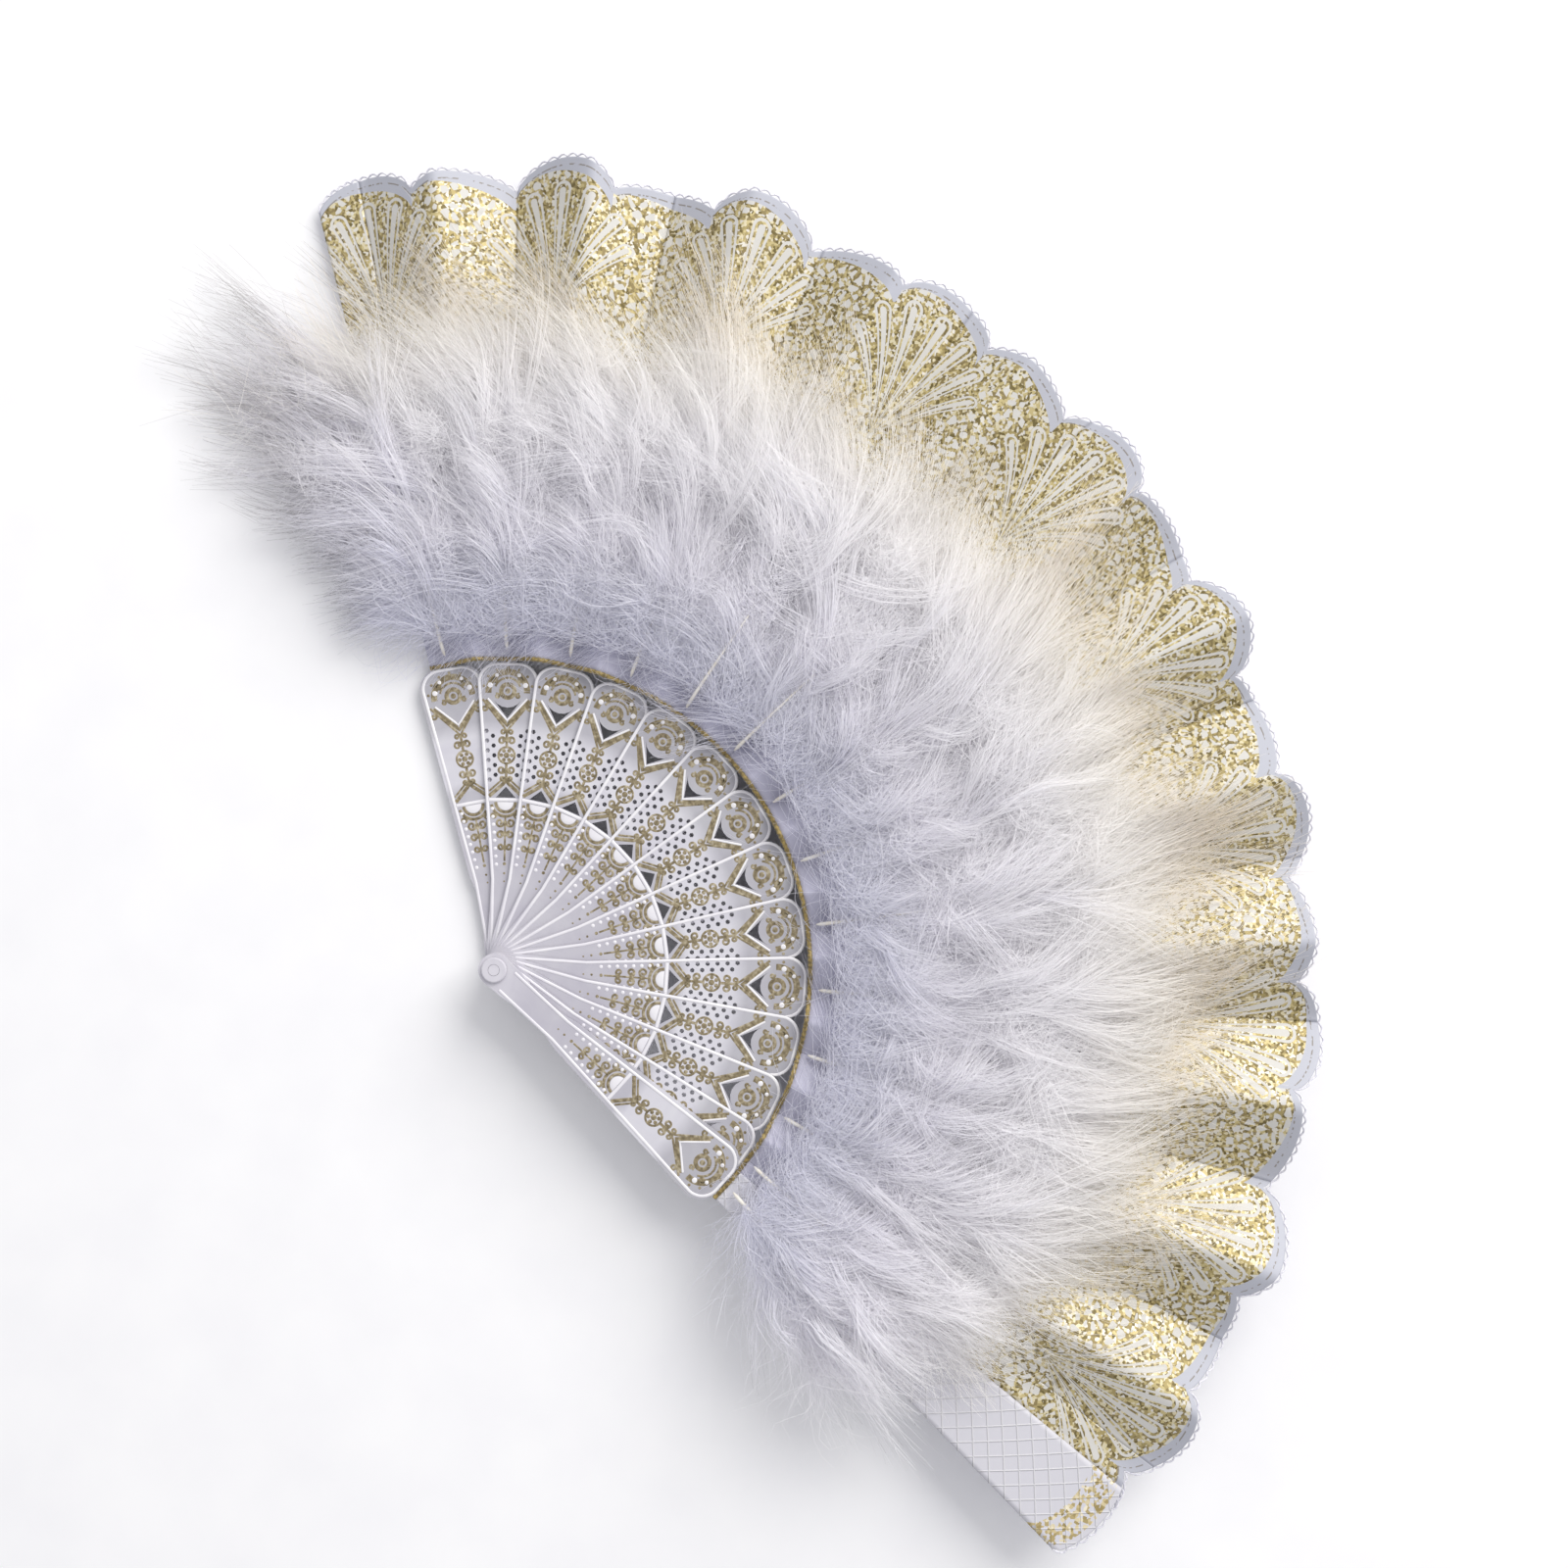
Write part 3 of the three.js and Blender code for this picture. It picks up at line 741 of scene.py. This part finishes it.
def rimPath(look):
    y = np.concatenate([np.linspace(look.rimStart, look.waist, 8)[:-1],
                        np.linspace(look.waist, look.end - look.corner, 16)])
    x = np.where(y < look.waist, look.waistHalf, edgeHalf(y, look)) - look.rimInset
    corner = arc(look.headHalf - look.corner, look.end - look.corner,
                 look.corner - look.rimInset, 0, 90, 10)
    right = np.vstack([np.column_stack([x, y])[:-1], corner])
    return np.vstack([right, right[::-1] * [-1, 1]])


# A line from wing to wing, down over the stick's middle
def wings(look, out, up, drop, width, height):
    half = np.array([look.wingEnd, (0, look.wingApex)]) + [[out, up], [0, drop]]
    return bead(line(np.vstack([half, half[:1] * [-1, 1]])), width, height)


def whiteRelief(look):
    height, bar, barHalf = look.relief, look.bar, look.barHalf
    edgeDots = [(edgeHalf(y, look) - look.edgeInset, y, look.edgeDot, 8)
                for y in np.arange(*look.edgeDots)]
    headDots = [(*place, 10) for place in look.headDots]
    return [
        bead(rimPath(look), look.rimWidth, height),
        wings(look, *look.wingRelief, height),
        bead(line([(-barHalf, bar), (barHalf, bar)]), look.barWidth, height),
        dot(0, look.boss, look.bossRadius, height, 16, np.pi, np.pi),
        *[dot(side * x, y, radius, height, sides)
          for x, y, radius, sides in edgeDots + headDots for side in (-1, 1)],
    ]


def goldLines(look):
    height, bar, barHalf = look.foil, look.bar, look.barHalf
    ring, flower = look.ring, look.flower
    petals = np.arange(look.petals) * 2 * np.pi / look.petals
    knots = np.radians(np.arange(*look.knots))
    gables = [([(-barHalf, bar + lift), (0, look.gableTop + lift), (barHalf, bar + lift)], width)
              for lift, width in look.gables]
    curls = [curl(*place) for place in look.curls]
    return [
        *[bead(arc(0, y, *ends), width, height) for y, arcs in ((ring, look.ringArcs),
                                                              (look.boss, look.bossArcs))
          for *ends, width in arcs],
        circle(ring, *look.ringCircle, height),
        circle(flower, *look.flowerCircle, height),
        dot(0, ring, look.ringDot, look.bossFoil, 10),
        dot(0, flower, look.flowerDot, look.bossFoil, 10),
        *[bead(line([(0, start), (0, stop)]), width, height) for start, stop, width in look.stems],
        *[wings(look, *wing, height) for wing in look.wingFoil],
        *[bead(line(gable), width, height) for gable, width in gables],
        *[dot(look.petalReach * math.cos(a), flower + look.petalReach * math.sin(a), look.petal, height)
          for a in petals],
        *[dot(look.knotReach[0] * math.cos(a), ring + look.knotReach[1] * math.sin(a), look.knot, height)
          for a in knots],
        *[dot(0, y, radius, height) for y, radius in look.tailDots],
        *[bead(path, look.curlWidth, height) for half in curls for path in (half, half[::-1] * [-1, 1])],
    ]


# Both drawings, turned from the stick's own axes to where each stick lies
drawings = (("relief", whiteRelief(gorgeLook), reliefPlastic), ("gilding", goldLines(gorgeLook), foil))
for k, name in enumerate(stickNames):
    for suffix, parts, face in drawings:
        points, quads = joinParts(parts)
        level = stickTops[k] + points[:, 2] - gorgeLook.sink
        points = polar(stickAngles[k], points[:, 1], points[:, 0], level)
        piece = makePiece(f"{name}_{suffix}", points, quads, [face])
        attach(piece, name)
print("sticks: relief and gilding on", frontGuard + 1)


# Plumes: barbs in locks along a quill that lies in the valley over its rib, filling a dome between two
# ridges. The barbs are fewer and thicker than real down, so that they show.

plumeLook = Settings(
    quill=(87.3, 117.0),  # radii of its ends
    quillRadius=(0.55, 0.2),
    quillTip=0.35,  # share of that at the very foot
    quillSeat=1.0,  # over the rib
    quillLift=(0.35, 0.95),  # height against the dome's
    quillSides=8, quillSteps=24, quillSeed=399,
    shaftStart=93.0,  # radii between which barbs leave the quill
    shaftStagger=4.0,
    shaftEnds=((0, 148), (3, 154), (5, 143), (7, 154), (10, 145), (12, 140), (13, 122)),  # plume, radius
    locks=330, lockSeed=400,
    rootCrowd=0.8,  # under 1, locks crowd towards the end of the shaft
    rootSpread=7.0,  # sideways, at the end of the shaft
    bareQuill=0.3,  # share of the shaft where no barb crosses the quill
    bareLean=0.3,  # least lean there, against the side's
    leanSpread=(24.0, 13.0),  # random turn of a lock, degrees, at both ends of the shaft
    sweep=((0, -33), (3, -36), (5, -26), (7, -12), (9, -16), (11, -24), (13, -17)),  # plume, turn in degrees
    rootSweep=0.8,  # how much more of it the locks at the root have
    sweepGrowth=(0.5, 1.5),  # and a barb, from its root to its tip
    plumeTurn=7.0,  # random change of the sweep
    plumeGrowth=(0.13, -0.2, 0.1),  # of the length of its barbs, and limits
    plumeLift=(0.09, -0.15, 0.08),  # of their height, and limits
    puffs=1.7,  # waves along the shaft, in which the locks turn and sink together
    puffTurn=15.0, puffDip=0.6,
    puffStart=0.5,  # power by which the dips deepen along the shaft
    puffSeed=500, longSeed=600,
    lockLength=(0.6, 1.12),  # against the side's
    longShare=0.22, longLength=1.45,  # of the locks over the leaf
    layerCrowd=0.7,  # under 1, locks crowd towards the top of the dome
    layerLimits=(0.02, 1.35),
    sway=0.3,  # radians
    swing=(0.4, 1.1),  # waves along a barb
    stray=Settings(share=0.05, turn=26.0, layer=(1.0, 1.25), sway=2.2),  # locks that stand out from the rest
    barbs=20,  # in a lock
    stations=7,  # points along a barb
    barbWidth=(0.12, 0.26),
    barbRoll=(0.4, 0.7),  # random roll of a barb at its root, and more at its tip, radians
    tipLoss=0.7, tipPower=1.5,  # of its width
    apart=Settings(  # random difference of a barb from its lock
        lean=4.5, length=3.0, root=2.0, offside=0.8, layer=0.07, sway=0.1, swing=0.06, phase=0.25, tone=0.16),
    bend=0.35,  # share of its lean that a barb loses along its length
    rise=0.4,  # share of a barb's length in which it rises to its own layer
    flutter=0.8, flutterWaves=1.3,
    fuzz=Settings(  # short curling strands on top of the rest
        count=3000, start=91.0, past=15.0, length=(12.0, 28.0), turn=62.0,
        width=0.75,  # against a barb's
        side=(0.12, 1.0),  # share of the way to the ridge
        taper=0.6,  # power by which it narrows to the root, outside the guards
        layer=(0.82, 1.1), sway=1.1, swing=(0.3, 0.8), tone=(0.4, 1.0)),
    clearance=(0.6, 1.6),  # over the leaf
    floorClear=1.2,
    stripMargin=0.01,  # beside the front strip, radians
    loft=15.0,
    span=(87.0, 188.0),  # radii of the dome's ends
    taper=1.15,  # over 1, the dome is fullest nearer the tip
    bluntness=0.45,  # under 1, its ends are rounder
    reach=(85.0, 200.0),  # radii that the colour map spans
    tone=(0.25, 1.0),
    shadeHold=0.4,  # share of the way to cream that a tip greyed by painted shade does not go
    shadePower=4,  # the higher, the nearer the tip the painted grey shade starts
    pressLevel=0.5,  # over the rib
    keep=0.16,
)
# A side of a plume: its barbs' lean and length at both ends of the shaft, how they crowd to the outside, how
# grey their tips are painted (a painted shade on the outer overhangs) and how loose their locks are, the
# share of the loft lost at the ridge, and the half-angle
innerSide = dict(lean=(60.0, 14.0), length=(28.0, 46.0), crowd=1.0, shade=0.0, loose=1.0, dome=0.55)
plumeSides = {
    (0, -1): dict(lean=(36.0, 27.0), length=(24.0, 67.0), half=math.radians(16.5), crowd=0.6, shade=0.9,
                  loose=0.5),
    (frontGuard - 1, 1): dict(lean=(76.0, 26.0), length=(29.0, 30.0), dome=0.15),
    (frontGuard, -1): dict(lean=(66.0, 42.0), length=(32.0, 22.0), half=math.radians(5.5), dome=0.2),
    (frontGuard, 1): dict(lean=(60.0, 44.0), length=(18.0, 57.0), half=math.radians(9.5), shade=0.4,
                          loose=0.6),
}
rightShare = {0: 0.36, frontGuard - 1: 0.6, frontGuard: 0.55}
seeded = np.random.default_rng
quillLifts = seeded(plumeLook.quillSeed).uniform(*plumeLook.quillLift, frontGuard + 1)


def plumeSide(k, side):
    beside = leafAngles[k + side] if 0 <= k + side <= frontGuard else 0
    return {"half": abs(beside - leafAngles[k]) / 2, **innerSide, **plumeSides.get((k, side), {})}


def plumeLevel(k):
    return frontLevel if k == frontGuard else leafLevels[k]


# Height of the dome over the ribs' level: the loft, times the root of a sine along the plume, less a square
# across it, on a bed that rises to the ridges
def domeHeight(k, bearing, radius, look):
    share = ((radius - look.span[0]) / np.ptp(look.span)).clip(0, 1)
    full = np.sin(np.pi * share ** look.taper).clip(0) ** look.bluntness
    offset = bearing - stickAngles[k]
    sides = plumeSide(k, -1), plumeSide(k, 1)
    half, dome = (np.where(offset < 0, *(side[key] for side in sides)) for key in ("half", "dome"))
    away = np.abs(offset / half).clip(0, 1)
    left = leafRises[k] if 0 < k < frontGuard else 0
    right = leafRises[k + 1] if k < frontGuard else 0
    bed = np.where(offset < 0, left, right) * radius / leafLook.notch
    return look.loft * full * (1 - dome * away ** 2) + bed * away


# The quill lies on the rib at its foot and rises with the dome
def shaftHeight(radius, k, look):
    return plumeLevel(k) + look.quillSeat + quillLifts[k] * domeHeight(k, stickAngles[k], radius, look)


# Puffs: waves along each side of the shaft, the first for a turn and the second for a dip
def puffWave(row, k, right, share, look):
    starts = seeded(look.puffSeed + k).random((2, 2))
    return np.pi * (starts[row, right.astype(int)] + look.puffs * share)


def sunk(k, right, share, look):
    dip = look.puffDip * share.clip(0, 1) ** look.puffStart
    return 1 - dip * np.sin(puffWave(1, k, right, share, look)) ** 2


# A lock leaves one side of the quill. What it shares with its side, its puff and its plume comes first, then
# what is its own.
def plumeLocks(k, look, random):
    even, normal = (partial(draw, look.locks) for draw in (random.random, random.standard_normal))
    right = even() < rightShare.get(k, 0.5)
    share = even() ** look.rootCrowd
    sides = plumeSide(k, 1), plumeSide(k, -1)

    def own(key):
        return np.where(right, *(np.expand_dims(side[key], -1) for side in sides))

    fan = even() ** own("crowd")
    fan = np.where(share < look.bareQuill, between((look.bareLean, 1), fan), fan)
    turn = np.interp(k, *zip(*look.sweep)) + look.plumeTurn * random.standard_normal()
    loose = own("loose")
    lean = np.where(right, 1, -1) * fan * between(own("lean"), share)
    lean += loose * between(look.leanSpread, share) * normal()
    lean += loose * look.puffTurn * np.sin(2 * puffWave(0, k, right, share, look))
    growth, lift = (1 + np.clip(spread * random.standard_normal(), *limits)
                    for spread, *limits in (look.plumeGrowth, look.plumeLift))
    length = between(own("length"), share) * growth * between(look.lockLength, even())
    isLong = seeded(look.longSeed + k).random(look.locks) < look.longShare
    length *= np.where(isLong & (loose == 1), look.longLength, 1)
    shaftStart = look.shaftStart + look.shaftStagger * random.random()
    shaft = shaftStart, np.interp(k, *zip(*look.shaftEnds))
    layer = lift * even() ** look.layerCrowd * sunk(k, right, share, look)
    sway = look.sway * normal()
    swing = between(look.swing, even())
    phase = 2 * np.pi * even()
    tone = even()
    isStray = even() < look.stray.share
    lean += np.where(isStray, look.stray.turn, 0) * normal()
    layer = np.where(isStray, between(look.stray.layer, even()), layer)
    sway *= np.where(isStray, look.stray.sway, 1)
    return Settings(share=share, shaft=shaft, loose=loose, lean=lean, turn=turn, length=length, layer=layer,
                    sway=sway, swing=swing, phase=phase, tone=tone, shade=own("shade"))


# The barbs of the locks, then the fuzz, which starts anywhere on the dome and curls any way: a column of
# values for each setting, with a row to a strand
def plumeStrands(k, look, random):
    lock = plumeLocks(k, look, random)
    barbs, apart, fuzz, share, shaft = look.barbs, look.apart, look.fuzz, lock.share, lock.shaft
    free = random.random((8, fuzz.count))
    bow = random.standard_normal((2, fuzz.count))
    right = free[1] >= 0.5
    fuzzRoot = between((fuzz.start, shaft[1] + fuzz.past), free[0])
    fuzzShare = (fuzzRoot - shaft[0]) / (shaft[1] - shaft[0])
    half = np.where(right, plumeSide(k, 1)["half"], -plumeSide(k, -1)["half"])
    half *= np.where(np.where(right, k == frontGuard, k == 0), free[0] ** fuzz.taper, 1)
    fuzzSide = half * between(fuzz.side, free[2]) * fuzzRoot
    fuzzLayer = between(fuzz.layer, free[4]) * sunk(k, right, fuzzShare, look)
    turn = lock.turn * (1 + look.rootSweep * (1 - share))

    def each(values, spread, fuzzValues):
        own = np.repeat(values, barbs) + spread * random.standard_normal(look.locks * barbs)
        return np.append(own, fuzzValues)[:, None]

    return Settings(
        lean=np.radians(each(lock.lean, apart.lean * np.repeat(lock.loose, barbs), fuzz.turn * bow[0])),
        turn=np.radians(each(turn, 0, np.full(fuzz.count, lock.turn))),
        length=each(lock.length, apart.length, between(fuzz.length, free[3])),
        root=each(between(shaft, share), apart.root, fuzzRoot),
        offside=each(look.rootSpread * share * random.standard_normal(look.locks), apart.offside, fuzzSide),
        layer=each(lock.layer, apart.layer, fuzzLayer).clip(*look.layerLimits),
        sway=each(lock.sway, apart.sway, fuzz.sway * bow[1]),
        swing=each(lock.swing, apart.swing, between(fuzz.swing, free[5])),
        phase=each(lock.phase, apart.phase, 2 * np.pi * free[6]),
        tone=between(look.tone, each(lock.tone, apart.tone, between(fuzz.tone, free[7])).clip(0, 1)),
        shade=each(lock.shade, 0, np.zeros(fuzz.count)),
    )


# A barb leaves the quill at an angle that shrinks along it, sways as a sine and sweeps with its plume. Its
# place is the running sum of its direction. It rises to its own layer of the dome, and stays above the leaf
# and its own rib.
def strandPaths(k, strand, isFuzz, look, random):
    t = np.linspace(0, 1, look.stations)
    middle = (t[1:] + t[:-1]) / 2
    wave = np.sin(2 * np.pi * strand.swing * middle + strand.phase)
    angle = (strand.lean * (1 - look.bend * middle) + strand.turn * between(look.sweepGrowth, middle)
             + strand.sway * middle * wave)
    step = strand.length / (look.stations - 1)
    along, across = (np.pad(np.cumsum(part * step, axis=1), ((0, 0), (1, 0)))
                     for part in (np.cos(angle), np.sin(angle)))
    points = polar(stickAngles[k], strand.root + along, strand.offside + across)
    x, y = points[..., 0], points[..., 1]
    bearing, radius = np.arctan2(x, y), np.hypot(x, y)
    level = plumeLevel(k) if k == frontGuard else np.interp(bearing, leafAngles, leafLevels)
    top = level + strand.layer * domeHeight(k, bearing, radius, look)
    top += look.flutter * t * np.sin(2 * np.pi * look.flutterWaves * t + strand.phase)
    start = shaftHeight(strand.root, k, look)
    ease = np.where(isFuzz, 1, (t / look.rise).clip(0, 1))
    height = start + (top - start) * ease ** 2 * (3 - 2 * ease)
    onLeaf = (bearing > backEdge) & (bearing < frontEdges[1])
    least = np.where(onLeaf, leafHeight(bearing, radius), look.floorClear)
    if k >= frontGuard - 1:
        onStrip = np.abs(bearing - stickAngles[frontGuard]) < leafLook.frontHalf + look.stripMargin
        least = np.where(onStrip, frontLevel, least)
    spare = between(look.clearance, random.random((len(points), 1)))
    points[..., 2] = np.maximum(height, np.maximum(least, plumeLevel(k)) + spare)
    return points, radius, t


# A barb is a strip that narrows to its tip and rolls along it. Its map has how far out it lies, and its tone,
# which painted shade greys at the tips of the outer overhangs.
def plumeBarbs(k, look):
    random = seeded(look.lockSeed + k)
    strand = plumeStrands(k, look, random)
    count, stations = len(strand.root), look.stations
    isFuzz = np.arange(count)[:, None] >= look.locks * look.barbs
    points, radius, t = strandPaths(k, strand, isFuzz, look, random)
    heading = unit(np.gradient(points, axis=1))
    flat = unit(np.cross(heading, [0.0, 0.0, 1.0]))
    upright = np.cross(flat, heading)
    rootRoll, tipRoll = (roll * random.standard_normal((count, 1)) for roll in look.barbRoll)
    roll = rootRoll + tipRoll * t
    width = between(look.barbWidth, random.random((count, 1))) * np.where(isFuzz, look.fuzz.width, 1)
    half = width / 2 * (1 - look.tipLoss * t ** look.tipPower)
    offset = half[..., None] * (np.cos(roll)[..., None] * flat + np.sin(roll)[..., None] * upright)
    strip = np.stack([points - offset, points + offset], axis=2).reshape(-1, 3)
    starts = np.arange(count)[:, None, None] * (stations * 2)
    quads = (gridQuads(stations, 2)[None] + starts).reshape(-1, 4)
    out = ((radius - look.reach[0]) / np.ptp(look.reach)).clip(0, 1)
    # Painted shade: the tips on the outer overhangs are greyed and kept from turning cream
    tone = (strand.tone - strand.shade * t ** look.shadePower).clip(0, 1)
    spot = np.stack([out * (1 - look.shadeHold * strand.shade), tone], axis=-1)
    return strip, quads, np.repeat(spot.reshape(-1, 2), 2, axis=0)


def addPlume(k, look):
    own = {0: "back", frontGuard: "front"}.get(k, f"{k:02d}")
    strip, quads, spot = plumeBarbs(k, look)
    piece = makePiece(f"barbs_{own}", strip, quads, [down])
    addMap(piece, "barb", spot)
    addMap(piece, "OFBake", spot)
    radius = np.linspace(*look.quill, look.quillSteps)
    path = polar(stickAngles[k], radius, 0, shaftHeight(radius, k, look))
    thick = np.linspace(*look.quillRadius, look.quillSteps)[:, None]
    thick[0] *= look.quillTip
    quill = makePiece(f"quill_{own}", *tube(path, thick, look.quillSides), [horn])
    for part in (piece, quill):
        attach(part, stickNames[k])
        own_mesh(part)
    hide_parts(f"plume_{own}")


for k in range(frontGuard + 1):
    addPlume(k, plumeLook)
print("plumes:", frontGuard + 1)
